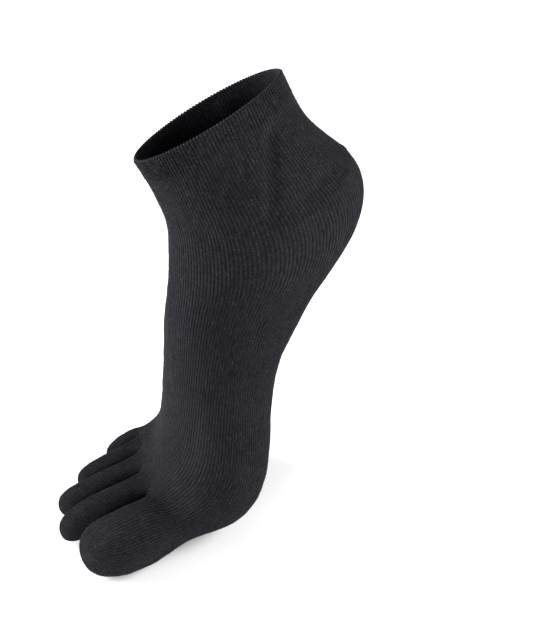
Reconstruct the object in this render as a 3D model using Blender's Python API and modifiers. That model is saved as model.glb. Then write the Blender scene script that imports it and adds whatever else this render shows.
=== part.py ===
import math
from collections import namedtuple

import bmesh
import bpy
from mathutils import Vector

# A toe sock in its worn shape, standing on tiptoe, knitted as one hollow tube that ends in five pockets.
# Tables count in steps, of which the foot's length holds 240. In them x runs from the middle of the
# heel to the big toe's side, y from the ball of the foot to the back and z up from the ground.
FOOT_LENGTH = 0.240
STEP = FOOT_LENGTH / 240
WALL = 0.0016
SEAM_GAP = 0.0003
COLUMNS = 24
HALF = COLUMNS // 2

# front and back: where the ring crosses the middle plane. inner and outer: its half widths.
# rise: how much higher than the middle the big toe's side stands. crest: how far the front point sits
# to that side. square: 2 is an ellipse, more is boxier. toes: how far the columns have moved from an
# even spread to the toes' own. skew: how far back the outer side is set.
Section = namedtuple(
    "Section",
    "name front_y front_z back_y back_z inner outer rise crest square_front square_back toes skew",
)
SECTIONS = [
    Section("opening", -23, 196, 43, 227, 27, 29, 8, 0, 2.0, 2.0, 0.0, 0.0),
    Section("cuff_end", -17.5, 184, 49, 215, 27, 29, 7, 0, 2.0, 2.0, 0.0, 0.0),
    Section("leg", -13, 172, 57, 203, 28, 30, 5, 0, 2.0, 2.0, 0.0, 0.0),
    Section("ankle", -9.5, 160, 70, 193, 31, 33, 2, 0, 2.0, 2.0, 0.0, 0.0),
    Section("heel_top", -10, 151, 82, 183, 31, 33, 1, 1, 2.0, 2.0, 0.0, 0.0),
    Section("heel_back", -11, 143, 89, 170, 31, 33, 0, 2, 2.0, 2.0, 0.0, 0.0),
    Section("heel_under", -12, 134, 86, 151, 30, 32, 0, 3, 2.0, 2.1, 0.0, 0.0),
    Section("heel_front", -14, 124, 74, 135, 28, 33, 0, 4, 2.0, 2.1, 0.0, 0.0),
    Section("arch_back", -15.5, 113, 59, 119, 28, 34, 0, 5, 2.0, 2.1, 0.0, 0.0),
    Section("midfoot", -16, 88, 39, 86, 30, 37, 0, 6, 2.0, 2.1, 0.2, 0.0),
    Section("ball_back", -17, 63, 34, 45, 35, 47, 0, 4, 2.0, 2.3, 0.45, 0.1),
    Section("ball", -19, 51, 30, 20, 37, 52, 0, 3, 2.1, 2.5, 0.6, 0.18),
    Section("ball_front", -22, 41, 18, 3, 37, 55, 0, 2, 2.3, 2.7, 0.8, 0.24),
    Section("toe_crease", -25, 33, -3, 1, 35, 56, 0, 0, 2.7, 3.0, 1.0, 0.28),
    Section("web", -29, 27, -22, 3, 33, 56, 0, 0, 3.2, 3.2, 1.0, 0.28),
]
# Where each column of the front half crosses the web, as a share of the half width on its side.
WEB_ACROSS = [1, 0.95, 0.76, 0.46, 0.16, -0.06, -0.22, -0.36, -0.50, -0.63, -0.76, -0.9, -1]
WEB_REACH = 3.0

# first and last: the front-half columns that a toe takes from the web.
Toe = namedtuple("Toe", "name first last")
TOES = [
    Toe("big_toe", 0, 4),
    Toe("second_toe", 4, 6),
    Toe("third_toe", 6, 8),
    Toe("fourth_toe", 8, 10),
    Toe("little_toe", 10, 12),
]
# The rings of a toe from its root to its end, then the end itself.
ToeRing = namedtuple("ToeRing", "x y z wide high")
TOE_RINGS = {
    "big_toe": [
        ToeRing(20.8, -38, 14.5, 30.5, 29),
        ToeRing(21.8, -51, 14, 31.5, 28),
        ToeRing(22.0, -63, 14, 29, 25),
        ToeRing(21.6, -71, 13.5, 20, 17),
        ToeRing(21.4, -74.5, 13.5, 0, 0),
    ],
    "second_toe": [
        ToeRing(-3.8, -38, 16, 16.4, 21),
        ToeRing(-4.2, -54, 14.5, 16.4, 19),
        ToeRing(-4.6, -68, 11, 16, 17),
        ToeRing(-4.9, -74.5, 9, 11, 11),
        ToeRing(-5, -77, 9, 0, 0),
    ],
    "third_toe": [
        ToeRing(-20.3, -34.5, 15.5, 15, 19),
        ToeRing(-21, -49, 14, 15.4, 17),
        ToeRing(-21.8, -63, 10.5, 15.4, 15.5),
        ToeRing(-22.2, -69.5, 9.5, 10.5, 10.5),
        ToeRing(-22.4, -72, 9, 0, 0),
    ],
    "fourth_toe": [
        ToeRing(-35.3, -27.5, 15, 13.6, 18),
        ToeRing(-36, -38.5, 13.5, 14, 16),
        ToeRing(-36.6, -49, 10.5, 14, 14.5),
        ToeRing(-37, -54.5, 9.5, 9.5, 10),
        ToeRing(-37.1, -57, 9, 0, 0),
    ],
    "little_toe": [
        ToeRing(-49, -18, 14.5, 12.6, 17),
        ToeRing(-49.4, -24, 13.5, 13, 15.5),
        ToeRing(-49.7, -29.5, 11, 13, 14),
        ToeRing(-49.8, -34, 10, 9, 10),
        ToeRing(-49.9, -36, 9.5, 0, 0),
    ],
}

# Soft swellings and hollows of the foot inside: centre, reach and height, outwards.
Swell = namedtuple("Swell", "name x y z reach height")
SWELLS = [
    Swell("inner_ankle_bone", 31, 18, 152, 13, 3.0),
    Swell("outer_ankle_bone", -33, 22, 146, 13, 3.5),
    Swell("inner_ankle_hollow", 24, 50, 172, 15, -4.0),
    Swell("outer_ankle_hollow", -26, 50, 170, 15, -4.0),
    Swell("arch_hollow", 27, 24, 96, 22, -2.0),
    Swell("instep_hollow", 0, -8, 168, 16, -1.0),
]

# The planes that part the sections of the knit, as lines in the side view or in plan.
CUFF_WIDTH = 10
HEEL_LINE = [(96, 222), (19, 169), (94, 127)]
ANKLE_LINE = [(19.05, 169.03), (-40, 150)]
BALL_LINE = [(60, 36), (-60, 78)]
TOE_LINE = [(48, -34), (5, -36), (-12, -34), (-28, -29), (-43, -20), (-70, -6)]
CUTTER_REACH = 60


def at(x, y, z):
    """A point of the tables in metres, measured from the middle of the leg opening."""
    top = SECTIONS[0]
    middle_y = (top.front_y + top.back_y) / 2
    middle_z = (top.front_z + top.back_z) / 2
    return Vector((x, y - middle_y, z - middle_z)) * STEP


def fullness(count):
    """How much wider a cage ring is drawn, so that the smoothed one has the wanted size."""
    return 3 / (2 + math.cos(2 * math.pi / count))


def across(section, column):
    """How far out a column stands on its ring, from 1 on the big toe's side to -1."""
    even = math.cos(math.pi * column / HALF)
    return even + (WEB_ACROSS[min(column, COLUMNS - column)] - even) * section.toes


def ring_point(section, column):
    out = across(section, column)
    on_front = column <= HALF
    square = section.square_front if on_front else section.square_back
    if out > 0:
        square = 2 + (square - 2) * 0.3
    depth = max(0.0, 1 - abs(out) ** square) ** (1 / square)
    if not on_front:
        depth = -depth
    x = out * (section.inner if out > 0 else section.outer) + section.crest * (1 + depth) / 2
    rise = section.rise * out
    y = (section.front_y + section.back_y) / 2 + depth * (section.front_y - section.back_y) / 2
    z = (section.front_z + section.back_z) / 2 + depth * (section.front_z - section.back_z) / 2
    y += section.skew * max(0.0, -x)
    z += rise
    middle = Vector(
        (0, (section.front_y + section.back_y) / 2, (section.front_z + section.back_z) / 2)
    )
    point = middle + (Vector((x, y, z)) - middle) * fullness(COLUMNS)
    outwards = (point - middle).normalized()
    for swell in SWELLS:
        away = (point - Vector((swell.x, swell.y, swell.z))).length / swell.reach
        point = point + outwards * swell.height * math.exp(-away * away)
    return at(*point)


def toe_ring(ring, count):
    """Points round one ring of a toe, from the big toe's side over the top."""
    full = fullness(count) / 2
    points = []
    for i in range(count):
        angle = 2 * math.pi * i / count
        x = ring.x + math.cos(angle) * ring.wide * full
        z = ring.z + math.sin(angle) * ring.high * full
        points.append(at(x, ring.y, z))
    return points


def bridge(bm, first, second):
    for i in range(len(first)):
        j = (i + 1) % len(first)
        bm.faces.new((first[i], first[j], second[j], second[i]))


def sock_cage():
    """The sock's outside as a coarse cage, open at the leg."""
    bm = bmesh.new()
    rings = []
    for section in SECTIONS:
        rings.append([bm.verts.new(ring_point(section, k)) for k in range(COLUMNS)])
    for upper, lower in zip(rings, rings[1:]):
        bridge(bm, upper, lower)
    web = rings[-1]
    middles = {}
    for toe in TOES[:-1]:
        front = web[toe.last].co
        back = web[COLUMNS - toe.last].co
        middles[toe.last] = bm.verts.new((front + back) / 2 + Vector((0, -WEB_REACH * STEP, 0)))
    for toe in TOES:
        root = []
        if toe.first in middles:
            root.append(middles[toe.first])
        root += web[toe.first : toe.last + 1]
        if toe.last in middles:
            root.append(middles[toe.last])
        back = [web[(COLUMNS - k) % COLUMNS] for k in range(toe.last, toe.first - 1, -1)]
        root += [vert for vert in back if vert not in root]
        last = root
        for ring in TOE_RINGS[toe.name][:-1]:
            row = [bm.verts.new(point) for point in toe_ring(ring, len(root))]
            bridge(bm, last, row)
            last = row
        end = TOE_RINGS[toe.name][-1]
        tip = bm.verts.new(at(end.x, end.y, end.z))
        for i in range(len(last)):
            bm.faces.new((last[i], last[(i + 1) % len(last)], tip))
    bmesh.ops.recalc_face_normals(bm, faces=bm.faces)
    mesh = bpy.data.meshes.new("sock_cage")
    bm.to_mesh(mesh)
    bm.free()
    return mesh


def sheet(name, line, spread, collection):
    """A closed thin sheet: a line of (start, end) corners, as wide as the gap, drawn out along spread."""
    bm = bmesh.new()
    sides = []
    for i, point in enumerate(line):
        before = (point - line[i - 1]).normalized() if i else None
        after = (line[i + 1] - point).normalized() if i + 1 < len(line) else None
        along = (before + after).normalized() if before and after else before or after
        across_line = along.cross(spread.normalized()).normalized()
        wide = SEAM_GAP / 2
        if before and after:
            wide /= max(0.3, abs(across_line.dot(before.cross(spread.normalized()).normalized())))
        sides.append((point, across_line * wide))
    rows = []
    for point, offset in sides:
        corners = (
            point + offset - spread,
            point - offset - spread,
            point - offset + spread,
            point + offset + spread,
        )
        rows.append([bm.verts.new(corner) for corner in corners])
    for first, second in zip(rows, rows[1:]):
        bridge(bm, first, second)
    bm.faces.new(rows[0])
    bm.faces.new(rows[-1])
    bmesh.ops.recalc_face_normals(bm, faces=bm.faces)
    mesh = bpy.data.meshes.new(name)
    bm.to_mesh(mesh)
    bm.free()
    obj = bpy.data.objects.new(name, mesh)
    obj.hide_render = True
    obj.display_type = "WIRE"
    collection.objects.link(obj)
    return obj


def cutters(collection):
    top = SECTIONS[0]
    front = at(0, top.front_y, top.front_z)
    back = at(0, top.back_y, top.back_z)
    along = (back - front).normalized()
    down = along.cross(Vector((1, 0, 0))).normalized()
    if down.z > 0:
        down = -down
    shift = down * CUFF_WIDTH * STEP
    reach = along * 20 * STEP
    cuff_line = [front + shift - reach, back + shift + reach]
    sideways = Vector((CUTTER_REACH * STEP, 0, 0))
    tilted = sideways + Vector((0, 0, CUTTER_REACH * STEP * top.rise / top.outer))
    upwards = Vector((0, 0, 30 * STEP))
    heel_line = [at(0, y, z) for y, z in HEEL_LINE]
    ankle_line = [at(0, y, z) for y, z in ANKLE_LINE]
    ball_line = [at(0, y, z) for y, z in BALL_LINE]
    toe_line = [at(x, y, 16) for x, y in TOE_LINE]
    return [
        sheet("cuff_cut", cuff_line, tilted, collection),
        sheet("heel_cut", heel_line, sideways, collection),
        sheet("ankle_cut", ankle_line, sideways, collection),
        sheet("ball_cut", ball_line, sideways, collection),
        sheet("toe_cut", toe_line, upwards, collection),
    ]


def knit(name, colour, rough):
    material = bpy.data.materials.new(name)
    material.use_nodes = True
    shader = material.node_tree.nodes["Principled BSDF"]
    shader.inputs["Base Color"].default_value = (*colour, 1)
    shader.inputs["Roughness"].default_value = rough
    material.diffuse_color = (*colour, 1)
    return material


def loose_parts(mesh):
    """The separate shells of a mesh, each as a list of face indices."""
    bm = bmesh.new()
    bm.from_mesh(mesh)
    bm.faces.ensure_lookup_table()
    seen = set()
    parts = []
    for face in bm.faces:
        if face.index in seen:
            continue
        stack = [face]
        seen.add(face.index)
        found = []
        while stack:
            current = stack.pop()
            found.append(current.index)
            for edge in current.edges:
                for other in edge.link_faces:
                    if other.index not in seen:
                        seen.add(other.index)
                        stack.append(other)
        parts.append(found)
    bm.free()
    return parts


def part_object(name, mesh, faces, material, collection):
    bm = bmesh.new()
    bm.from_mesh(mesh)
    bm.faces.ensure_lookup_table()
    keep = set(faces)
    bmesh.ops.delete(bm, geom=[f for f in bm.faces if f.index not in keep], context="FACES")
    bmesh.ops.recalc_face_normals(bm, faces=bm.faces)
    piece = bpy.data.meshes.new(name)
    bm.to_mesh(piece)
    bm.free()
    piece.materials.clear()
    piece.materials.append(material)
    piece.shade_smooth()
    obj = bpy.data.objects.new(name, piece)
    collection.objects.link(obj)
    return obj


# A place inside or on each piece, by which its shell is told from the others.
PLACES = {
    "cuff": (0, 10, 210),
    "leg": (0, 18, 187),
    "foot": (0, 22, 105),
    "ball": (-8, -4, 34),
    "heel_pocket": (0, 75, 160),
    "big_toe": (21, -58, 12),
    "second_toe": (-7, -60, 12),
    "third_toe": (-24, -54, 12),
    "fourth_toe": (-38, -42, 12),
    "little_toe": (-52, -30, 12),
}
KNITS = {
    "cuff": ("ribbed_cuff_knit", (0.022, 0.022, 0.026), 0.95),
    "leg": ("leg_knit", (0.024, 0.024, 0.029), 0.95),
    "foot": ("foot_knit", (0.026, 0.026, 0.031), 0.95),
    "ball": ("ball_knit", (0.028, 0.027, 0.032), 0.95),
    "heel_pocket": ("heel_knit", (0.032, 0.031, 0.037), 0.95),
    "big_toe": ("big_toe_knit", (0.030, 0.029, 0.034), 0.95),
    "second_toe": ("second_toe_knit", (0.030, 0.029, 0.034), 0.95),
    "third_toe": ("third_toe_knit", (0.030, 0.029, 0.034), 0.95),
    "fourth_toe": ("fourth_toe_knit", (0.030, 0.029, 0.034), 0.95),
    "little_toe": ("little_toe_knit", (0.030, 0.029, 0.034), 0.95),
}


def clear_scene():
    for obj in list(bpy.data.objects):
        bpy.data.objects.remove(obj, do_unlink=True)


def add_modifiers(obj, cuts):
    smooth = obj.modifiers.new("smooth", "SUBSURF")
    smooth.levels = 1
    smooth.render_levels = 1
    wall = obj.modifiers.new("wall", "SOLIDIFY")
    wall.thickness = WALL
    wall.offset = -1
    wall.use_even_offset = False
    for cutter in cuts:
        cut = obj.modifiers.new(cutter.name, "BOOLEAN")
        cut.operation = "DIFFERENCE"
        cut.solver = "EXACT"
        cut.object = cutter


def build():
    clear_scene()
    scene = bpy.context.scene
    sock = bpy.data.collections.new("toe_sock")
    helpers = bpy.data.collections.new("cutters")
    helpers.hide_render = True
    scene.collection.children.link(sock)
    scene.collection.children.link(helpers)
    whole = bpy.data.objects.new("whole_sock", sock_cage())
    whole.hide_render = True
    whole.display_type = "WIRE"
    helpers.objects.link(whole)
    add_modifiers(whole, cutters(helpers))
    graph = bpy.context.evaluated_depsgraph_get()
    mesh = bpy.data.meshes.new_from_object(whole.evaluated_get(graph), depsgraph=graph)
    for faces in loose_parts(mesh):
        corners = {v for i in faces for v in mesh.polygons[i].vertices}
        low = Vector([min(mesh.vertices[v].co[axis] for v in corners) for axis in range(3)])
        high = Vector([max(mesh.vertices[v].co[axis] for v in corners) for axis in range(3)])
        middle = (low + high) / 2
        name = min(PLACES, key=lambda place: (at(*PLACES[place]) - middle).length)
        part_object(name, mesh, faces, knit(*KNITS[name]), sock)
    bpy.data.meshes.remove(mesh)


build()
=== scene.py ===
import math

import bmesh
import bpy
import numpy as np
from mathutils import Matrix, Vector


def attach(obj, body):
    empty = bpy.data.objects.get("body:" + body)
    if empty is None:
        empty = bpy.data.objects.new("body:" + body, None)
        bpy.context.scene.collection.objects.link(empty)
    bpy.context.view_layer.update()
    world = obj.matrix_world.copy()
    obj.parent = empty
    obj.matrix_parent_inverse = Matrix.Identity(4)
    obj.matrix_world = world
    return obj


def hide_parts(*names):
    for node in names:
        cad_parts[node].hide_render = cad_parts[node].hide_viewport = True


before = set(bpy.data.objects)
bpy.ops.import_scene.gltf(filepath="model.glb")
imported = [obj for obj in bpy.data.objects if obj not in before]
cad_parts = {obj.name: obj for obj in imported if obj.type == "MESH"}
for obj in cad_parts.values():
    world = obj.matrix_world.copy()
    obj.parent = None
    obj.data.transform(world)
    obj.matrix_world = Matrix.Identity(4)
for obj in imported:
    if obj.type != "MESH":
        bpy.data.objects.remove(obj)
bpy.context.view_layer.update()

# Sizes are in metres. The tables count in steps of a millimetre from the ball of the foot, the
# middle of the heel and the ground, and "middle" carries them to the middle of the leg opening.
step = 0.001
middle = np.array((0.0, 10.0, 211.5))

# The camera stands to the right of the toes and looks down a little.
view = {
    "side": 62, "height": 30, "away": 520, "aim": (-26, 56, 86),
    "lens": 980 * 36 / 635,
}

sockSize = {
    "columns": 24,           # cage columns round the foot
    "walesPerColumn": 6,
    "pointsPerWale": 4,
    "smoothing": 3,
    "wall": 1.6,
    "cuffRings": 6,          # fine rings of the cuff
    "toeRootRings": 4,       # fine rings of each toe that belong to the foot
    "capRings": 6,
    "coursePitch": 1.25,
}


def place(points):
    return (np.asarray(points, float) - middle) * step


def makeCamera():
    turn, tilt = math.radians(view["side"]), math.radians(view["height"])
    back = np.array((
        math.sin(turn) * math.cos(tilt), -math.cos(turn) * math.cos(tilt), math.sin(tilt)
    ))
    data = bpy.data.cameras.new("camera")
    data.sensor_width = 36
    data.lens = view["lens"]
    camera = bpy.data.objects.new("camera", data)
    camera.location = place(view["aim"]) + back * view["away"] * step
    camera.rotation_euler = Vector(-back).to_track_quat("-Z", "Y").to_euler()
    bpy.context.scene.collection.objects.link(camera)
    bpy.context.scene.camera = camera


makeCamera()


# the outside of the sock as a coarse cage
# front y, z, back y, z, inner and outer half width, rise of the inner side, crest, squareness in
# front and at the back, share of the toes' own column spacing, skew of the outer side
ringTable = [
    ("opening", -23, 196, 43, 227, 27, 29, 8, 0, 2.0, 2.0, 0.0, 0.0),
    ("cuffEnd", -17.5, 184, 49, 215, 27, 29, 7, 0, 2.0, 2.0, 0.0, 0.0),
    ("leg", -13, 172, 57, 203, 28, 30, 5, 0, 2.0, 2.0, 0.0, 0.0),
    ("ankle", -9.5, 160, 70, 193, 31, 33, 2, 0, 2.0, 2.0, 0.0, 0.0),
    ("heelTop", -10, 151, 82, 183, 31, 33, 1, 1, 2.0, 2.0, 0.0, 0.0),
    ("heelBack", -11, 143, 89, 170, 31, 33, 0, 2, 2.0, 2.0, 0.0, 0.0),
    ("heelUnder", -12, 134, 86, 151, 30, 32, 0, 3, 2.0, 2.1, 0.0, 0.0),
    ("heelFront", -14, 124, 74, 135, 28, 33, 0, 4, 2.0, 2.1, 0.0, 0.0),
    ("archBack", -15.5, 113, 59, 119, 28, 34, 0, 5, 2.0, 2.1, 0.0, 0.0),
    ("midfoot", -16, 88, 39, 86, 30, 37, 0, 6, 2.0, 2.1, 0.2, 0.0),
    ("ballBack", -17, 63, 34, 45, 35, 47, 0, 4, 2.0, 2.3, 0.45, 0.1),
    ("ball", -19, 51, 30, 20, 37, 52, 0, 3, 2.1, 2.5, 0.6, 0.18),
    ("ballFront", -22, 41, 18, 3, 37, 55, 0, 2, 2.3, 2.7, 0.8, 0.24),
    ("toeCrease", -25, 33, -3, 1, 35, 56, 0, 0, 2.7, 3.0, 1.0, 0.28),
    ("web", -29, 27, -22, 3, 33, 56, 0, 0, 3.2, 3.2, 1.0, 0.28),
]
webAcross = [1, 0.95, 0.76, 0.46, 0.16, -0.06, -0.22, -0.36, -0.50, -0.63, -0.76, -0.9, -1]
webReach = (0, -6.5, 2.0)  # how far the knit between two toes comes forward and up
toeBoxiness = 0.86  # 1 is an ellipse, less is squarer, as toes that press on each other are
toeColumns = {
    "big_toe": (0, 4), "second_toe": (4, 6), "third_toe": (6, 8),
    "fourth_toe": (8, 10), "little_toe": (10, 12),
}
# x, y, z, width, height of each ring of a toe, and its end
toeRings = {
    "big_toe": [
        (20.8, -38, 14.5, 30.5, 29), (21.8, -51, 14, 31.5, 28), (22.0, -63, 14, 29, 25),
        (21.6, -71, 13.5, 20, 17), (21.4, -74.5, 13.5, 0, 0),
    ],
    "second_toe": [
        (-3.8, -38, 16, 16.4, 21), (-4.2, -54, 14.5, 16.4, 19), (-4.6, -68, 11, 16, 17),
        (-4.9, -74.5, 9, 11, 11), (-5, -77, 9, 0, 0),
    ],
    "third_toe": [
        (-20.3, -34.5, 15.5, 15, 19), (-21, -49, 14, 15.4, 17), (-21.8, -63, 10.5, 15.4, 15.5),
        (-22.2, -69.5, 9.5, 10.5, 10.5), (-22.4, -72, 9, 0, 0),
    ],
    "fourth_toe": [
        (-35.3, -27.5, 15, 13.6, 18), (-36, -38.5, 13.5, 14, 16), (-36.6, -49, 10.5, 14, 14.5),
        (-37, -54.5, 9.5, 9.5, 10), (-37.1, -57, 9, 0, 0),
    ],
    "little_toe": [
        (-49, -18, 14.5, 12.6, 17), (-49.4, -24, 13.5, 13, 15.5), (-49.7, -29.5, 11, 13, 14),
        (-49.8, -34, 10, 9, 10), (-49.9, -36, 9.5, 0, 0),
    ],
}
# centre, reach and height of the foot's soft swellings and hollows under the knit
swellings = {
    "innerAnkleBone": (31, 18, 152, 13, 3.0),
    "outerAnkleBone": (-33, 22, 146, 13, 3.5),
    "innerAnkleHollow": (24, 50, 172, 15, -4.0),
    "outerAnkleHollow": (-26, 50, 170, 15, -4.0),
    "archHollow": (27, 24, 96, 22, -2.0),
    "instepHollow": (0, -8, 168, 16, -1.0),
}
columns = sockSize["columns"]
half = columns // 2


def fullness(count):
    return 3 / (2 + math.cos(2 * math.pi / count))


def ringPoint(row, column):
    name, fy, fz, by, bz, inner, outer, rise, crest, sqFront, sqBack, toes, skew = row
    even = math.cos(math.pi * column / half)
    out = even + (webAcross[min(column, columns - column)] - even) * toes
    onFront = column <= half
    square = sqFront if onFront else sqBack
    if out > 0:
        square = 2 + (square - 2) * 0.3
    depth = max(0.0, 1 - abs(out) ** square) ** (1 / square) * (1 if onFront else -1)
    x = out * (inner if out > 0 else outer) + crest * (1 + depth) / 2
    centre = np.array((0, (fy + by) / 2, (fz + bz) / 2))
    y = centre[1] + depth * (fy - by) / 2 + skew * max(0.0, -x)
    z = centre[2] + depth * (fz - bz) / 2 + rise * out
    point = centre + (np.array((x, y, z)) - centre) * fullness(columns)
    outwards = (point - centre) / np.linalg.norm(point - centre)
    for sx, sy, sz, reach, height in swellings.values():
        away = np.linalg.norm(point - np.array((sx, sy, sz))) / reach
        point = point + outwards * height * math.exp(-away * away)
    return point


def toeRingPoint(row, i, count):
    x, y, z, wide, high = row
    angle = 2 * math.pi * i / count
    full = fullness(count) / 2
    out, up = (
        math.copysign(abs(share) ** toeBoxiness, share) if abs(share) > 1e-9 else 0
        for share in (math.cos(angle), math.sin(angle))
    )
    return np.array((x + out * wide * full, y, z + up * high * full))



# the smooth outside, read off as even grids of points
def cageObject():
    bm = bmesh.new()
    grid = bm.loops.layers.uv.new("grid")

    def band(first, second, ring, patch):
        count = len(first)
        for i in range(count):
            j = (i + 1) % count
            face = bm.faces.new((first[i], first[j], second[j], second[i]))
            face.material_index = patch
            corners = ((i, ring), (i + 1, ring), (i + 1, ring + 1), (i, ring + 1))
            for loop, corner in zip(face.loops, corners):
                loop[grid].uv = corner

    rings = [
        [bm.verts.new(place(ringPoint(row, k))) for k in range(columns)] for row in ringTable
    ]
    for ring, (upper, lower) in enumerate(zip(rings, rings[1:])):
        band(upper, lower, ring, 0)
    web = rings[-1]
    crotches = {}
    for first, last in list(toeColumns.values())[:-1]:
        between = (web[last].co + web[columns - last].co) / 2
        crotches[last] = bm.verts.new(between + Vector(webReach) * step)
    for patch, (toe, (first, last)) in enumerate(toeColumns.items(), 1):
        root = [crotches[first]] if first in crotches else []
        root += web[first : last + 1]
        root += [crotches[last]] if last in crotches else []
        back = [web[(columns - k) % columns] for k in range(last, first - 1, -1)]
        root += [vert for vert in back if vert not in root]
        for ring, row in enumerate(toeRings[toe][:-1]):
            points = [toeRingPoint(row, i, len(root)) for i in range(len(root))]
            following = [bm.verts.new(place(point)) for point in points]
            band(root, following, ring, patch)
            root = following
        tip = bm.verts.new(place(toeRings[toe][-1][:3]))
        for i in range(len(root)):
            face = bm.faces.new((root[i], root[(i + 1) % len(root)], tip))
            face.material_index = len(toeColumns) + 1
    mesh = bpy.data.meshes.new("sockCage")
    bm.to_mesh(mesh)
    bm.free()
    for _ in range(len(toeColumns) + 2):
        mesh.materials.append(None)
    return bpy.data.objects.new("sockCage", mesh)


def smoothed(obj):
    bpy.context.scene.collection.objects.link(obj)
    smooth = obj.modifiers.new("smooth", "SUBSURF")
    smooth.levels = smooth.render_levels = sockSize["smoothing"]
    smooth.uv_smooth = "NONE"
    graph = bpy.context.evaluated_depsgraph_get()
    mesh = bpy.data.meshes.new_from_object(obj.evaluated_get(graph))
    bpy.data.objects.remove(obj)
    return mesh


def gridsOf(mesh):
    fine = 2 ** sockSize["smoothing"]
    corners = np.empty(len(mesh.loops), int)
    mesh.loops.foreach_get("vertex_index", corners)
    spots = np.empty(len(mesh.loops) * 2)
    mesh.uv_layers["grid"].data.foreach_get("uv", spots)
    spots = np.rint(spots.reshape(-1, 2) * fine).astype(int)
    patch = np.empty(len(mesh.polygons), int)
    mesh.polygons.foreach_get("material_index", patch)
    total = np.empty(len(mesh.polygons), int)
    mesh.polygons.foreach_get("loop_total", total)
    patch = np.repeat(patch, total)
    points = np.empty(len(mesh.vertices) * 3)
    mesh.vertices.foreach_get("co", points)
    points = points.reshape(-1, 3)
    grids = []
    for number in range(len(toeColumns) + 1):
        mine = patch == number
        across, down = spots[mine].T
        grid = np.zeros((down.max() + 1, across.max() + 1, 3))
        grid[down, across] = points[corners[mine]]
        grids.append(widened(grid))
    return grids


def widened(grid):
    fine = 2 ** sockSize["smoothing"]
    wanted = sockSize["walesPerColumn"] * sockSize["pointsPerWale"]
    count = (grid.shape[1] - 1) // fine * wanted
    spot = np.arange(count + 1) * fine / wanted
    left = np.minimum(spot.astype(int), grid.shape[1] - 2)
    share = (spot - left)[None, :, None]
    return grid[:, left] * (1 - share) + grid[:, left + 1] * share


def capped(grid, tip):
    last, before = grid[-1], grid[-2]
    reach = np.linalg.norm(tip - last, axis=1, keepdims=True)
    leave = last - before
    leave *= reach / np.linalg.norm(leave, axis=1, keepdims=True)
    arrive = (tip - last) * np.array((1, 0.15, 1))
    arrive *= reach / np.linalg.norm(arrive, axis=1, keepdims=True)
    rows = [grid]
    for k in range(1, sockSize["capRings"] + 1):
        t = k / sockSize["capRings"]
        rows.append((
            (2 * t**3 - 3 * t**2 + 1) * last + (t**3 - 2 * t**2 + t) * leave
            + (3 * t**2 - 2 * t**3) * tip + (t**3 - t**2) * arrive
        )[None])
    return np.concatenate(rows)


# one smooth surface: where every point lies, faces and belongs
# y and z of the lines between the pieces, seen from the side, and of the ridge over the heel
heelLine = [(96, 222), (19, 169), (94, 127)]
ankleLine = [(19.05, 169.03), (-40, 150)]
ballLine = [(60, 36), (-60, 78)]
ridgeLine = [(20, 171), (27, 168), (36, 167), (52, 172), (66, 178.5), (78, 187)]

# start and end (y, z), side, reach and depth of the soft dents that the worn knit shows
dents = {
    "behindInnerAnkle": ((28, 207), (25, 174), 1, 3.6, -1.9),
    "behindOuterAnkle": ((30, 205), (27, 172), -1, 4.2, -1.6),
    "overHeelRidge": ((30, 174), (60, 184), 1, 3.4, -1.1),
    "overOuterHeelRidge": ((30, 174), (60, 184), -1, 3.4, -0.9),
    "cuffFold": ((12, 208), (14, 196), 1, 1.5, -0.6),
    "cuffFoldBehind": ((19, 210), (21, 200), 1, 1.4, -0.4),
    "frontOfAnkle": ((-6, 168), (8, 158), 1, 4.0, -0.7),
    "underCuff": ((-18, 187), (36, 212), 1, 1.3, -0.35),
    "underOuterCuff": ((-18, 187), (36, 212), -1, 1.3, -0.35),
    "underInstep": ((36, 92), (30, 58), 1, 5.0, -0.8),
}


def toLine(flat, line):
    nearest = np.full(len(flat), 1e9)
    for start, end in zip(line, line[1:]):
        start, along = np.array(start, float), np.array(end, float) - np.array(start, float)
        share = np.clip((flat - start) @ along / (along @ along), 0, 1)
        nearest = np.minimum(nearest, np.linalg.norm(flat - start - share[:, None] * along, axis=1))
    return nearest


def outwardsOf(points, quads):
    a, b, c, d = points[quads].transpose(1, 0, 2)
    facing = np.cross(c - a, d - b)
    total = np.zeros_like(points)
    for corner in range(4):
        np.add.at(total, quads[:, corner], facing)
    return total / np.maximum(np.linalg.norm(total, axis=1, keepdims=True), 1e-15)


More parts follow.
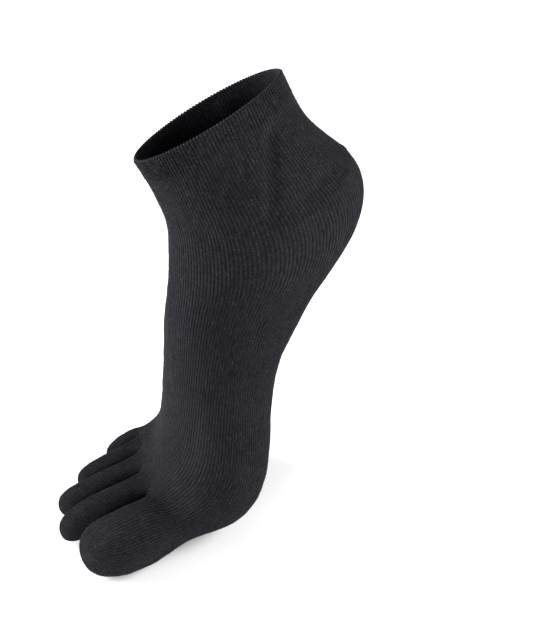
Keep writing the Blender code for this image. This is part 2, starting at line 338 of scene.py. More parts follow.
def knitSurface():
    cage = smoothed(cageObject())
    grids = gridsOf(cage)
    near = np.empty(len(cage.vertices) * 3)
    cage.vertices.foreach_get("co", near)
    near = near.reshape(-1, 3)
    for number, toe in enumerate(toeColumns, 1):
        end = place(toeRings[toe][-1][:3])
        tip = near[np.argmin(np.linalg.norm(near - end, axis=1))]
        grids[number] = capped(grids[number], tip)
    bpy.data.meshes.remove(cage)

    wales, courses, strengths, ids, quads = [], [], [], [], []
    startAt, reached = 0, 0.0
    for number, grid in enumerate(grids):
        rows, across = grid.shape[:2]
        lengths = np.linalg.norm(np.diff(grid, axis=0), axis=2).mean(axis=1)
        course = np.concatenate([[0], np.cumsum(lengths)]) / step / sockSize["coursePitch"]
        if number == 0:
            reached = course[-1]
        else:
            course = course + reached
        girth = np.linalg.norm(np.diff(grid, axis=1), axis=2).sum(axis=1)
        strength = np.clip(girth / girth[: rows - sockSize["capRings"]].max() * 1.6, 0, 1)
        wale = np.arange(across) / sockSize["pointsPerWale"]
        wales.append(np.tile(wale, (rows, 1)))
        courses.append(np.tile(course[:, None], (1, across)))
        strengths.append(np.tile(strength[:, None], (1, across)))
        ids.append(np.arange(rows * across).reshape(rows, across) + startAt)
        startAt += rows * across
    points = np.concatenate([grid.reshape(-1, 3) for grid in grids])
    _, first, same = np.unique(
        np.rint(points / 1e-6).astype(np.int64), axis=0, return_index=True, return_inverse=True
    )
    same = same.reshape(-1)
    ids = [same[block] for block in ids]
    for block in ids:
        quads.append(np.stack(
            [block[:-1, :-1], block[:-1, 1:], block[1:, 1:], block[1:, :-1]], axis=-1
        ).reshape(-1, 4))
    quads = np.concatenate(quads)
    points = points[first]
    outwards = outwardsOf(points, quads)
    middleLine = points[ids[0]].mean(axis=1)[:, None, :]
    turned = (outwards[ids[0]] * (points[ids[0]] - middleLine)).sum() < 0
    if turned:
        outwards = -outwards
    flat = points / step + middle
    for start, end, side, reach, depth in dents.values():
        away = toLine(flat[:, 1:], [start, end]) / reach
        mask = depth * np.exp(-away * away) * (flat[:, 0] * side > 8)
        points = points + outwards * (mask * step)[:, None]
    outwards = outwardsOf(points, quads) * (-1 if turned else 1)
    seam = np.exp(-(toLine(flat[:, 1:], ridgeLine) / 1.1) ** 2)
    return {
        "points": points, "outwards": outwards, "turned": turned, "ids": ids,
        "wales": wales, "courses": courses,
        "wale": np.concatenate([w.reshape(-1) for w in wales])[first],
        "strength": np.concatenate([s.reshape(-1) for s in strengths])[first],
        "seam": seam, "flat": flat, "quads": quads,
    }


def insideHeel(y, z):
    (topY, topZ), (tipY, tipZ), (lowY, lowZ) = heelLine
    if y <= tipY:
        return False
    upper = tipZ + (y - tipY) * (topZ - tipZ) / (topY - tipY)
    lower = tipZ + (y - tipY) * (lowZ - tipZ) / (lowY - tipY)
    return lower < z < upper


def above(line, y, z):
    (y0, z0), (y1, z1) = line
    return z > z0 + (y - y0) * (z1 - z0) / (y1 - y0)


def pieceAt(r, y, z):
    if r < sockSize["cuffRings"]:
        return "cuff"
    if insideHeel(y, z):
        return "heel_pocket"
    if not above(ballLine, y, z):
        return "ball"
    return "leg" if above(ankleLine, y, z) and z > 140 else "foot"


def shellsOf(surface):
    ids, flat = surface["ids"], surface["flat"]
    count, wide = len(flat), sockSize["pointsPerWale"]
    shells = {name: {"faces": [], "uvs": [], "rims": [], "edges": {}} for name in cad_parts}
    toes = [None] + list(toeColumns)
    for number, block in enumerate(ids):
        wale, course = surface["wales"][number], surface["courses"][number]
        rows, across = block.shape
        for r in range(rows - 1):
            for c in range(0, across - 1, wide):
                if number:
                    name = "ball" if r < sockSize["toeRootRings"] else toes[number]
                else:
                    name = pieceAt(r, *flat[block[r, c + wide // 2], 1:])
                shell = shells[name]
                edges = [
                    [(r, c + k) for k in range(wide + 1)],
                    [(r, c + wide), (r + 1, c + wide)],
                    [(r + 1, c + k) for k in range(wide, -1, -1)],
                    [(r + 1, c), (r, c)],
                ]
                walls = [
                    [(r, c + k), (r, c + k + 1), (r + 1, c + k + 1), (r + 1, c + k)]
                    for k in range(wide)
                ]
                for wall in walls:
                    addFace(shell, block, wale, course, wall, [0] * 4)
                back = [(r, c), (r + 1, c), (r + 1, c + wide), (r, c + wide)]
                addFace(shell, block, wale, course, back, [count] * 4)
                for edge in edges:
                    start, end = int(block[edge[0]]), int(block[edge[-1]])
                    if start == end:
                        continue
                    if (end, start) in shell["edges"]:
                        del shell["edges"][end, start]
                    else:
                        shell["edges"][start, end] = (number, edge)
    for shell in shells.values():
        for number, edge in shell["edges"].values():
            shell["rims"].append(len(shell["faces"]))
            spots = edge[::-1] + [edge[0], edge[-1]]
            sides = [0] * len(edge) + [count] * 2
            addFace(
                shell, ids[number], surface["wales"][number], surface["courses"][number],
                spots, sides,
            )
    return shells


def addFace(shell, block, wale, course, spots, sides):
    face, uv = [], []
    for spot, side in zip(spots, sides):
        vert = int(block[spot]) + side
        if vert not in face:
            face.append(vert)
            uv.append((wale[spot], course[spot]))
    if len(face) > 2:
        shell["faces"].append(face)
        shell["uvs"].append(uv)


def shellObject(name, shell, surface):
    count = len(surface["points"])
    used = sorted({vert for face in shell["faces"] for vert in face})
    order = {vert: k for k, vert in enumerate(used)}
    used = np.array(used)
    inner = used >= count
    source = np.where(inner, used - count, used)
    points = surface["points"][source].copy()
    outwards = surface["outwards"][source]
    points[inner] -= outwards[inner] * sockSize["wall"] * step
    faces = [[order[vert] for vert in face] for face in shell["faces"]]
    uvs = [corner for uv in shell["uvs"] for corner in uv]
    if surface["turned"]:
        faces = [face[::-1] for face in faces]
        uvs = [corner for uv in shell["uvs"] for corner in uv[::-1]]
    mesh = bpy.data.meshes.new(name)
    mesh.from_pydata(points.tolist(), [], faces)
    layer = mesh.uv_layers.new(name="knit")
    layer.data.foreach_set("uv", np.array(uvs, float).reshape(-1))
    strength = surface["strength"][source] * ~inner
    for title, values in (
        ("wale", surface["wale"][source]), ("strength", strength),
        ("seam", surface["seam"][source] * ~inner),
    ):
        mesh.attributes.new(title, "FLOAT", "POINT").data.foreach_set("value", values)
    mesh.attributes.new("outwards", "FLOAT_VECTOR", "POINT").data.foreach_set(
        "vector", outwards.reshape(-1)
    )
    mesh.shade_smooth()
    flatFaces = np.zeros(len(faces), bool)
    flatFaces[shell["rims"]] = True
    mesh.polygons.foreach_set("use_smooth", ~flatFaces)
    mesh.update()
    obj = bpy.data.objects.new(name, mesh)
    bpy.context.scene.collection.objects.link(obj)
    return obj, used


def shadeAsOne(pieces, surface):
    count = len(surface["points"])
    points = surface["points"].copy()
    for piece, used in pieces:
        places = np.empty(len(used) * 3)
        piece.data.vertices.foreach_get("co", places)
        outer = used < count
        points[used[outer]] = places.reshape(-1, 3)[outer]
    outwards = outwardsOf(points, surface["quads"]) * (-1 if surface["turned"] else 1)
    for piece, used in pieces:
        inner = used >= count
        facing = outwards[np.where(inner, used - count, used)]
        facing[inner] *= -1
        piece.data.normals_split_custom_set_from_vertices(facing.tolist())


# node helpers
def newTree(name, kind, inputs, outputs):
    tree = bpy.data.node_groups.new(name, kind)
    for title, socket, value in inputs:
        made = tree.interface.new_socket(title, in_out="INPUT", socket_type=socket)
        if value is not None:
            made.default_value = value
    for title, socket in outputs:
        tree.interface.new_socket(title, in_out="OUTPUT", socket_type=socket)
    return tree, tree.nodes.new("NodeGroupInput"), tree.nodes.new("NodeGroupOutput")


def calc(tree, operation, first, second=None, third=None):
    node = tree.nodes.new("ShaderNodeMath")
    node.operation = operation
    for socket, value in zip(node.inputs, (first, second, third)):
        feed(tree, socket, value)
    return node.outputs[0]


def feed(tree, socket, value):
    if value is None:
        return
    if isinstance(value, bpy.types.NodeSocket):
        tree.links.new(value, socket)
    else:
        socket.default_value = value


def attribute(tree, name, kind="FLOAT"):
    node = tree.nodes.new("GeometryNodeInputNamedAttribute")
    node.data_type = kind
    node.inputs["Name"].default_value = name
    return node.outputs["Attribute"]


def socketId(tree, title):
    return next(item.identifier for item in tree.interface.items_tree if item.name == title)


# Geometry Nodes: ribs of the knit
def ribTree():
    tree, given, result = newTree(
        "knitRibs", "GeometryNodeTree",
        [
            ("Geometry", "NodeSocketGeometry", None), ("Rib depth", "NodeSocketFloat", 0.0002),
            ("Unevenness", "NodeSocketFloat", 0.0003), ("Seam height", "NodeSocketFloat", 0.0007),
            ("Fullness", "NodeSocketFloat", 0.0), ("Knit", "NodeSocketMaterial", None),
        ],
        [("Geometry", "NodeSocketGeometry")],
    )
    strength = attribute(tree, "strength")
    turn = calc(tree, "MULTIPLY", attribute(tree, "wale"), 2 * math.pi)
    rib = calc(tree, "MULTIPLY", calc(tree, "COSINE", turn), given.outputs["Rib depth"])
    seam = calc(tree, "MULTIPLY", attribute(tree, "seam"), given.outputs["Seam height"])
    wander = tree.nodes.new("ShaderNodeTexNoise")
    wander.inputs["Scale"].default_value = 320
    wander.inputs["Detail"].default_value = 1
    rib = calc(tree, "MULTIPLY", rib, calc(tree, "MULTIPLY_ADD", wander.outputs[0], 2.4, -0.2))
    noise = tree.nodes.new("ShaderNodeTexNoise")
    noise.inputs["Scale"].default_value = 85
    noise.inputs["Detail"].default_value = 3
    wave = calc(tree, "MULTIPLY", calc(tree, "SUBTRACT", noise.outputs[0], 0.5), given.outputs["Unevenness"])
    total = calc(tree, "ADD", calc(tree, "ADD", rib, wave), given.outputs["Fullness"])
    total = calc(tree, "MULTIPLY", total, strength)
    total = calc(tree, "ADD", total, seam)
    scale = tree.nodes.new("ShaderNodeVectorMath")
    scale.operation = "SCALE"
    feed(tree, scale.inputs[0], attribute(tree, "outwards", "FLOAT_VECTOR"))
    feed(tree, scale.inputs["Scale"], total)
    move = tree.nodes.new("GeometryNodeSetPosition")
    feed(tree, move.inputs["Geometry"], given.outputs["Geometry"])
    feed(tree, move.inputs["Offset"], scale.outputs[0])
    real = tree.nodes.new("GeometryNodeRealizeInstances")
    feed(tree, real.inputs[0], move.outputs[0])
    dress = tree.nodes.new("GeometryNodeSetMaterial")
    feed(tree, dress.inputs["Geometry"], real.outputs[0])
    feed(tree, dress.inputs["Material"], given.outputs["Knit"])
    feed(tree, result.inputs[0], dress.outputs[0])
    return tree


def shaped(obj, tree, values):
    modifier = obj.modifiers.new("nodes", "NODES")
    modifier.node_group = tree
    for title, value in values.items():
        modifier[socketId(tree, title)] = value
    graph = bpy.context.evaluated_depsgraph_get()
    mesh = bpy.data.meshes.new_from_object(
        obj.evaluated_get(graph), preserve_all_data_layers=True, depsgraph=graph
    )
    obj.modifiers.clear()
    before = obj.data
    obj.data = mesh
    bpy.data.meshes.remove(before)
    mesh.name = obj.name
    return obj


# materials
def stitchGroup():
    tree, given, result = newTree(
        "knitStitches", "ShaderNodeTree",
        [
            ("Knit", "NodeSocketVector", None), ("Lean", "NodeSocketFloat", 0.55),
            ("Twist", "NodeSocketFloat", 3.0),
        ],
        [("Height", "NodeSocketFloat"), ("Groove", "NodeSocketFloat"), ("Yarn", "NodeSocketFloat")],
    )
    apart = tree.nodes.new("ShaderNodeSeparateXYZ")
    feed(tree, apart.inputs[0], given.outputs["Knit"])
    wale, course = apart.outputs[0], apart.outputs[1]
    beside = calc(tree, "SUBTRACT", calc(tree, "FRACT", calc(tree, "ADD", wale, 0.5)), 0.5)
    side = calc(tree, "MULTIPLY", calc(tree, "ABSOLUTE", beside), 2.0)
    slanted = calc(tree, "SUBTRACT", course, calc(tree, "MULTIPLY", side, given.outputs["Lean"]))
    loop = calc(tree, "COSINE", calc(tree, "MULTIPLY", slanted, 2 * math.pi))
    loop = calc(tree, "MULTIPLY_ADD", loop, 0.5, 0.5)
    groove = calc(tree, "POWER", side, 3.0)
    notch = calc(tree, "SUBTRACT", 1.0, calc(tree, "MULTIPLY", side, 5.0))
    notch = calc(tree, "MAXIMUM", notch, 0.0)
    round1 = calc(tree, "SUBTRACT", 1.0, groove)
    height = calc(tree, "MULTIPLY", calc(tree, "MULTIPLY_ADD", loop, 0.55, 0.45), round1)
    height = calc(tree, "SUBTRACT", height, calc(tree, "MULTIPLY", notch, 0.15))
    strand = calc(tree, "MULTIPLY", slanted, given.outputs["Twist"])
    strand = calc(tree, "ADD", strand, calc(tree, "MULTIPLY", side, 2.0))
    strand = calc(tree, "MULTIPLY_ADD", calc(tree, "COSINE", calc(tree, "MULTIPLY", strand, 6.2832)), 0.5, 0.5)
    feed(tree, result.inputs["Height"], height)
    feed(tree, result.inputs["Groove"], groove)
    feed(tree, result.inputs["Yarn"], strand)
    return tree


def melangeGroup():
    tree, given, result = newTree(
        "cottonFlecks", "ShaderNodeTree",
        [
            ("Knit", "NodeSocketVector", None), ("Fine scale", "NodeSocketFloat", 1500.0), ("Broad scale", "NodeSocketFloat", 45.0),
            ("Fleck share", "NodeSocketFloat", 0.6),
        ],
        [
            ("Flecks", "NodeSocketFloat"), ("Patches", "NodeSocketFloat"),
            ("Fibres", "NodeSocketFloat"), ("Tone", "NodeSocketFloat"),
        ],
    )
    where = tree.nodes.new("ShaderNodeTexCoord")
    found = []
    for scale, detail in (("Fine scale", 2), ("Broad scale", 3)):
        noise = tree.nodes.new("ShaderNodeTexNoise")
        noise.inputs["Detail"].default_value = detail
        feed(tree, noise.inputs["Vector"], where.outputs["Object"])
        feed(tree, noise.inputs["Scale"], given.outputs[scale])
        found.append(noise.outputs[0])
    spun = tree.nodes.new("ShaderNodeVectorMath")
    spun.operation = "MULTIPLY"
    feed(tree, spun.inputs[0], given.outputs["Knit"])
    spun.inputs[1].default_value = (1.1, 0.34, 1)
    yarn = tree.nodes.new("ShaderNodeTexNoise")
    yarn.inputs["Scale"].default_value = 1
    yarn.inputs["Detail"].default_value = 2
    feed(tree, yarn.inputs["Vector"], spun.outputs[0])
    tone = tree.nodes.new("ShaderNodeMapRange")
    for title, value in (("Value", yarn.outputs[0]), ("From Min", 0.34), ("From Max", 0.66)):
        feed(tree, tone.inputs[title], value)
    feed(tree, result.inputs["Tone"], tone.outputs[0])
    flecks = tree.nodes.new("ShaderNodeMapRange")
    flecks.interpolation_type = "SMOOTHSTEP"
    feed(tree, flecks.inputs["Value"], found[0])
    feed(tree, flecks.inputs["From Min"], given.outputs["Fleck share"])
    feed(tree, flecks.inputs["From Max"], 0.85)
    feed(tree, result.inputs["Flecks"], flecks.outputs[0])
    feed(tree, result.inputs["Patches"], found[1])
    feed(tree, result.inputs["Fibres"], found[0])
    return tree


def mixColour(tree, kind, share, first, second):
    node = tree.nodes.new("ShaderNodeMix")
    node.data_type = "RGBA"
    node.blend_type = kind
    feed(tree, node.inputs[0], share)
    feed(tree, node.inputs[6], first)
    feed(tree, node.inputs[7], second)
    return node.outputs[2]


def knitMaterial(name, look, stitches, melange):
    material = bpy.data.materials.new(name)
    material.use_nodes = True
    tree = material.node_tree
    shader = tree.nodes["Principled BSDF"]
    uv = tree.nodes.new("ShaderNodeUVMap")
    uv.uv_map = "knit"
    stitch = tree.nodes.new("ShaderNodeGroup")
    stitch.node_tree = stitches
    feed(tree, stitch.inputs["Knit"], uv.outputs[0])
    fleck = tree.nodes.new("ShaderNodeGroup")
    fleck.node_tree = melange
    feed(tree, fleck.inputs["Knit"], uv.outputs[0])
    grain = tree.nodes.new("ShaderNodeMapRange")
    feed(tree, grain.inputs["Value"], fleck.outputs["Fibres"])
    for title, value in (("From Min", 0.32), ("From Max", 0.68), ("To Min", -0.3), ("To Max", 0.4)):
        feed(tree, grain.inputs[title], value)
    tone = calc(tree, "MULTIPLY_ADD", fleck.outputs["Tone"], 0.6, grain.outputs[0])
    tone = calc(tree, "ADD", tone, calc(tree, "MULTIPLY_ADD", fleck.outputs["Patches"], 1.0, -0.35))
    ground = mixColour(tree, "MIX", tone, look["dark"], look["base"])
    ground = mixColour(tree, "MIX", calc(tree, "MULTIPLY", stitch.outputs["Yarn"], 0.3), ground, look["yarn"])
    ground = mixColour(tree, "MIX", fleck.outputs["Flecks"], ground, look["fleck"])
    # painted shade: the base colour darkens towards the darkest colour in the grooves between wales, in the
    # low parts of the loops and along the seam ridge over the heel
    shade = calc(tree, "MULTIPLY", stitch.outputs["Groove"], look["grooveShade"])
    low = calc(tree, "SUBTRACT", 1.0, stitch.outputs["Height"])
    shade = calc(tree, "ADD", shade, calc(tree, "MULTIPLY", low, look["loopShade"]))
    seam = tree.nodes.new("ShaderNodeAttribute")
    seam.attribute_name = "seam"
    shade = calc(tree, "MULTIPLY_ADD", seam.outputs["Fac"], 0.22, shade)
    feed(tree, shader.inputs["Base Color"], mixColour(tree, "MIX", shade, ground, look["deep"]))
    rough = tree.nodes.new("ShaderNodeMapRange")
    feed(tree, rough.inputs["Value"], fleck.outputs["Fibres"])
    feed(tree, rough.inputs["To Min"], look["roughness"] - 0.08)
    feed(tree, rough.inputs["To Max"], look["roughness"] + 0.08)
    feed(tree, shader.inputs["Roughness"], rough.outputs[0])
    height = calc(tree, "MULTIPLY_ADD", fleck.outputs["Fibres"], 0.35, stitch.outputs["Height"])
    height = calc(tree, "MULTIPLY_ADD", stitch.outputs["Yarn"], 0.12, height)
    bump = tree.nodes.new("ShaderNodeBump")
    bump.inputs["Distance"].default_value = look["stitchDepth"]
    bump.inputs["Strength"].default_value = 0.9
    feed(tree, bump.inputs["Height"], height)
    feed(tree, shader.inputs["Normal"], bump.outputs[0])
    shader.inputs["Specular IOR Level"].default_value = 0.1
    shader.inputs["Sheen Weight"].default_value = look["sheen"]
    shader.inputs["Sheen Roughness"].default_value = 0.45
    shader.inputs["Sheen Tint"].default_value = (0.75, 0.76, 0.85, 1)
    material.diffuse_color = look["base"]
    return material


knitLook = {
    "dark": (0.0022, 0.0022, 0.0032, 1), "base": (0.0170, 0.0162, 0.0212, 1),
    "yarn": (0.0158, 0.0152, 0.0194, 1), "fleck": (0.085, 0.082, 0.097, 1),
    # the darkest colour and the groove and loop shares paint shade into the grooves, the loop hollows and
    # along the seam
    "deep": (0.0012, 0.0012, 0.0018, 1), "grooveShade": 0.38, "loopShade": 0.62,
    "roughness": 0.9, "stitchDepth": 0.00036, "sheen": 0.02,
}
pieceLooks = {
    "cuff": {"grooveShade": 0.5, "loopShade": 0.5},
    "knit": {},
    "heel_pocket": {"roughness": 0.92},
}
ribLooks = {
    "cuff": {"Rib depth": 0.00026, "Fullness": 0.00008, "Unevenness": 0.0007},
    "knit": {"Rib depth": 0.00013, "Unevenness": 0.0010},
    "heel_pocket": {"Rib depth": 0.00013, "Unevenness": 0.0010},
}

surface = knitSurface()
shells = shellsOf(surface)
print("surface", len(surface["points"]), "points")
stitches, melange, ribs = stitchGroup(), melangeGroup(), ribTree()
materials = {
    key: knitMaterial(key + "_knit", {**knitLook, **look}, stitches, melange)
    for key, look in pieceLooks.items()
}
knitPieces = []
for name, shell in shells.items():
    kind = name if name in pieceLooks else "knit"
    piece, used = shellObject("knit_" + name, shell, surface)
    piece = shaped(piece, ribs, {**ribLooks[kind], "Knit": materials[kind]})
    knitPieces.append((piece, used))
    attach(piece, "root")
    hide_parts(name)
    print(piece.name, len(piece.data.vertices), "points", len(piece.data.polygons), "faces")
shadeAsOne(knitPieces, surface)


# rolled rim of the leg opening
rimSize = {"beadWide": 0.00078, "beadHigh": 0.00105, "cord": 0.00060, "drop": 0.0003}


def rimTree():
    tree, given, result = newTree(
        "rimLoops", "GeometryNodeTree",
        [
            ("Geometry", "NodeSocketGeometry", None), ("Bead width", "NodeSocketFloat", 0.001),
            ("Bead height", "NodeSocketFloat", 0.001), ("Cord radius", "NodeSocketFloat", 0.0007),
            ("Knit", "NodeSocketMaterial", None),
        ],
        [("Geometry", "NodeSocketGeometry")],
    )
    curve = tree.nodes.new("GeometryNodeMeshToCurve")
    feed(tree, curve.inputs[0], given.outputs["Geometry"])
    ring = tree.nodes.new("GeometryNodeCurvePrimitiveCircle")
    ring.inputs["Resolution"].default_value = 8
    feed(tree, ring.inputs["Radius"], given.outputs["Cord radius"])
    cord = tree.nodes.new("GeometryNodeCurveToMesh")
    feed(tree, cord.inputs["Curve"], curve.outputs[0])
    feed(tree, cord.inputs["Profile Curve"], ring.outputs[0])
    bead = tree.nodes.new("GeometryNodeMeshIcoSphere")
    bead.inputs["Radius"].default_value = 1
    bead.inputs["Subdivisions"].default_value = 2
    size = tree.nodes.new("ShaderNodeCombineXYZ")
    feed(tree, size.inputs[0], given.outputs["Bead width"])
    feed(tree, size.inputs[1], given.outputs["Bead width"])
    feed(tree, size.inputs[2], given.outputs["Bead height"])
    turn = tree.nodes.new("FunctionNodeAlignRotationToVector")
    turn.axis = "Z"
    feed(tree, turn.inputs["Vector"], attribute(tree, "outwards", "FLOAT_VECTOR"))
    copies = tree.nodes.new("GeometryNodeInstanceOnPoints")
    feed(tree, copies.inputs["Points"], given.outputs["Geometry"])
    feed(tree, copies.inputs["Instance"], bead.outputs[0])
    feed(tree, copies.inputs["Rotation"], turn.outputs[0])
    feed(tree, copies.inputs["Scale"], size.outputs[0])
    both = tree.nodes.new("GeometryNodeJoinGeometry")
    feed(tree, both.inputs[0], cord.outputs[0])
    feed(tree, both.inputs[0], copies.outputs[0])
    real = tree.nodes.new("GeometryNodeRealizeInstances")
    feed(tree, real.inputs[0], both.outputs[0])
    soft = tree.nodes.new("GeometryNodeSetShadeSmooth")
    feed(tree, soft.inputs[0], real.outputs[0])
    dress = tree.nodes.new("GeometryNodeSetMaterial")
    feed(tree, dress.inputs["Geometry"], soft.outputs[0])
    feed(tree, dress.inputs["Material"], given.outputs["Knit"])
    feed(tree, result.inputs[0], dress.outputs[0])
    return tree


def rimObject():
    top = surface["ids"][0][0, :: sockSize["pointsPerWale"]][:-1]
    below = surface["ids"][0][1, :: sockSize["pointsPerWale"]][:-1]
    points, outwards = surface["points"], surface["outwards"]
    upwards = points[top] - points[below]
    upwards /= np.linalg.norm(upwards, axis=1, keepdims=True)
    centres = points[top] + outwards[top] * 0.0001 - outwards[top] * sockSize["wall"] * step / 2
    centres -= upwards * rimSize["drop"]
    mesh = bpy.data.meshes.new("cuff_rim")
    count = len(centres)
    mesh.from_pydata(centres.tolist(), [(i, (i + 1) % count) for i in range(count)], [])
    mesh.attributes.new("outwards", "FLOAT_VECTOR", "POINT").data.foreach_set(
        "vector", upwards.reshape(-1)
    )
    obj = bpy.data.objects.new("cuff_rim", mesh)
    bpy.context.scene.collection.objects.link(obj)
    return obj


rimLook = {**knitLook, "grooveShade": 0.0, "loopShade": 0.0, "stitchDepth": 0.0001}
rim = shaped(rimObject(), rimTree(), {
    "Bead width": rimSize["beadWide"], "Bead height": rimSize["beadHigh"],
    "Cord radius": rimSize["cord"], "Knit": knitMaterial("rim_knit", rimLook, stitches, melange),
})
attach(rim, "root")
print("rim", len(rim.data.polygons), "faces")


# loose fibres that stand out of the knit
fuzz = {"perSquareMetre": 330000, "long": 0.0013, "wide": 0.000045, "seed": 7}


def fuzzTree():
    tree, given, result = newTree(
        "looseFibres", "GeometryNodeTree",
        [
            ("Geometry", "NodeSocketGeometry", None), ("Density", "NodeSocketFloat", 1000.0),
            ("Length", "NodeSocketFloat", 0.001), ("Width", "NodeSocketFloat", 0.00005),
            ("Seed", "NodeSocketInt", 1), ("Fibre", "NodeSocketMaterial", None),
        ],
        [("Geometry", "NodeSocketGeometry")],
    )
    spread = tree.nodes.new("GeometryNodeDistributePointsOnFaces")
    feed(tree, spread.inputs["Mesh"], given.outputs["Geometry"])
    feed(tree, spread.inputs["Density"], given.outputs["Density"])
    feed(tree, spread.inputs["Seed"], given.outputs["Seed"])
    outer = tree.nodes.new("FunctionNodeCompare")
    outer.operation = "GREATER_THAN"
    feed(tree, outer.inputs[0], attribute(tree, "strength"))
    outer.inputs[1].default_value = 0.4
    feed(tree, spread.inputs["Selection"], outer.outputs[0])
    blade = tree.nodes.new("GeometryNodeMeshCone")
    blade.inputs["Vertices"].default_value = 3
    blade.inputs["Radius Top"].default_value = 0
    blade.inputs["Radius Bottom"].default_value = 1
    blade.inputs["Depth"].default_value = 1
    lean = tree.nodes.new("FunctionNodeRandomValue")
    lean.data_type = "FLOAT_VECTOR"
    lean.inputs[0].default_value = (-0.9, -0.9, 0.0)
    lean.inputs[1].default_value = (0.9, 0.9, 6.28)
    feed(tree, lean.inputs["Seed"], given.outputs["Seed"])
    turn = tree.nodes.new("FunctionNodeRotateRotation")
    turn.rotation_space = "LOCAL"
    feed(tree, turn.inputs[0], spread.outputs["Rotation"])
    feed(tree, turn.inputs[1], lean.outputs[0])
    length = tree.nodes.new("FunctionNodeRandomValue")
    length.inputs[2].default_value = 0.35
    length.inputs[3].default_value = 1.0
    size = tree.nodes.new("ShaderNodeCombineXYZ")
    feed(tree, size.inputs[0], given.outputs["Width"])
    feed(tree, size.inputs[1], given.outputs["Width"])
    feed(tree, size.inputs[2], calc(tree, "MULTIPLY", length.outputs[1], given.outputs["Length"]))
    copies = tree.nodes.new("GeometryNodeInstanceOnPoints")
    feed(tree, copies.inputs["Points"], spread.outputs["Points"])
    feed(tree, copies.inputs["Instance"], blade.outputs[0])
    feed(tree, copies.inputs["Rotation"], turn.outputs[0])
    feed(tree, copies.inputs["Scale"], size.outputs[0])
    real = tree.nodes.new("GeometryNodeRealizeInstances")
    feed(tree, real.inputs[0], copies.outputs[0])
    dress = tree.nodes.new("GeometryNodeSetMaterial")
    feed(tree, dress.inputs["Geometry"], real.outputs[0])
    feed(tree, dress.inputs["Material"], given.outputs["Fibre"])
    feed(tree, result.inputs[0], dress.outputs[0])
    return tree


def fibreMaterial():
    material = bpy.data.materials.new("loose_fibre")
    material.use_nodes = True
    tree = material.node_tree
    shader = tree.nodes["Principled BSDF"]
    fleck = tree.nodes.new("ShaderNodeGroup")
    fleck.node_tree = melange
    feed(tree, shader.inputs["Base Color"], mixColour(
        tree, "MIX", fleck.outputs["Fibres"], (0.012, 0.012, 0.016, 1), (0.09, 0.088, 0.1, 1)
    ))
    shader.inputs["Roughness"].default_value = 0.8
    shader.inputs["Specular IOR Level"].default_value = 0.2
    return material


fuzzNodes, fibre = fuzzTree(), fibreMaterial()
for number, (piece, used) in enumerate(knitPieces):
    name = piece.name.replace("knit_", "")
    fibres = bpy.data.objects.new("fuzz_" + name, piece.data.copy())
    bpy.context.scene.collection.objects.link(fibres)
    shaped(fibres, fuzzNodes, {
        "Density": float(fuzz["perSquareMetre"]), "Length": fuzz["long"], "Width": fuzz["wide"],
        "Seed": fuzz["seed"] + number, "Fibre": fibre,
    })
    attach(fibres, "root")
    print(fibres.name, len(fibres.data.polygons), "faces")


# floor, lamps and sky
studio = {
    "floorHeight": -0.2115, "floorReach": 6.0, "floor": (0.93, 0.93, 0.93, 1),
    "sky": 0.37, "glow": 0.7, "glowFrom": 0.45, "glowTo": 1.5,
    "lamps": {
        # place, what it points at, size, power
        "windowLeft": ((-0.55, -0.85, 0.35), (0.0, 0.0, -0.1), 0.7, 29),
        "windowBack": ((0.45, 0.95, 0.35), (0.0, 0.0, -0.08), 0.6, 22),
        "toeLight": ((0.4, -0.6, -0.08), (0.02, -0.09, -0.2), 0.25, 4.2),
    },
}


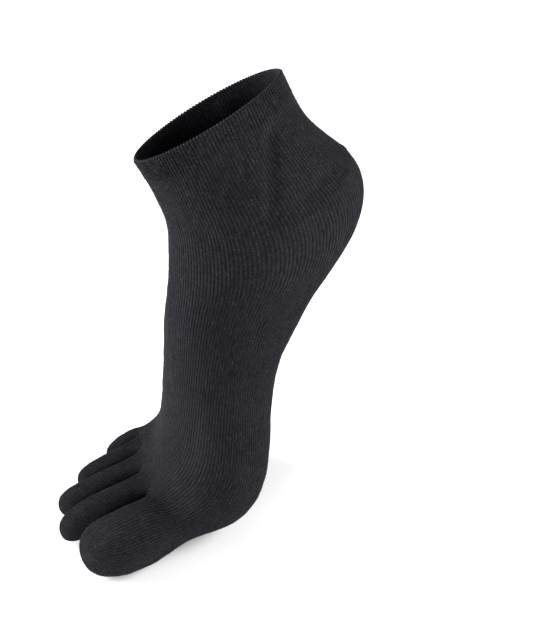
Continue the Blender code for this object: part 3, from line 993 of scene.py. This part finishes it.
def floorMaterial():
    material = bpy.data.materials.new("paleFloor")
    material.use_nodes = True
    tree = material.node_tree
    shader = tree.nodes["Principled BSDF"]
    where = tree.nodes.new("ShaderNodeTexCoord")
    noise = tree.nodes.new("ShaderNodeTexNoise")
    noise.inputs["Scale"].default_value = 3
    feed(tree, noise.inputs["Vector"], where.outputs["Object"])
    feed(tree, shader.inputs["Base Color"], mixColour(
        tree, "MIX", noise.outputs[0], studio["floor"], (0.95, 0.95, 0.95, 1)
    ))
    shader.inputs["Roughness"].default_value = 0.9
    shader.inputs["Specular IOR Level"].default_value = 0.1
    # away from the lamps the floor turns into a white backdrop
    away = tree.nodes.new("ShaderNodeVectorMath")
    away.operation = "LENGTH"
    feed(tree, away.inputs[0], where.outputs["Object"])
    glow = tree.nodes.new("ShaderNodeMapRange")
    glow.inputs["From Min"].default_value = studio["glowFrom"]
    glow.inputs["From Max"].default_value = studio["glowTo"]
    glow.inputs["To Max"].default_value = studio["glow"]
    feed(tree, glow.inputs["Value"], away.outputs["Value"])
    shader.inputs["Emission Color"].default_value = (1, 1, 1, 1)
    feed(tree, shader.inputs["Emission Strength"], glow.outputs["Result"])
    return material


def makeStudio():
    reach = studio["floorReach"]
    mesh = bpy.data.meshes.new("floor")
    corners = [(-reach, -reach), (reach, -reach), (reach, reach), (-reach, reach)]
    mesh.from_pydata([(x, y, studio["floorHeight"]) for x, y in corners], [], [(0, 1, 2, 3)])
    floor = bpy.data.objects.new("floor", mesh)
    bpy.context.scene.collection.objects.link(floor)
    mesh.materials.append(floorMaterial())
    world = bpy.data.worlds.new("studioSky")
    world.use_nodes = True
    sky = world.node_tree.nodes["Background"]
    sky.inputs["Color"].default_value = (1, 1, 1, 1)
    seen = world.node_tree.nodes.new("ShaderNodeLightPath")  # white behind the floor, dimmer as a light
    strength = world.node_tree.nodes.new("ShaderNodeMapRange")
    strength.inputs["To Min"].default_value = studio["sky"]
    strength.inputs["To Max"].default_value = 1.0
    feed(world.node_tree, strength.inputs["Value"], seen.outputs["Is Camera Ray"])
    feed(world.node_tree, sky.inputs["Strength"], strength.outputs["Result"])
    bpy.context.scene.world = world
    for name, (spot, aim, size, power) in studio["lamps"].items():
        lamp = bpy.data.lights.new(name, "AREA")
        lamp.size = size
        lamp.energy = power
        obj = bpy.data.objects.new(name, lamp)
        obj.location = spot
        obj.rotation_euler = (Vector(aim) - Vector(spot)).to_track_quat("-Z", "Y").to_euler()
        bpy.context.scene.collection.objects.link(obj)


makeStudio()
bpy.context.scene.view_settings.view_transform = "Standard"
print("studio")
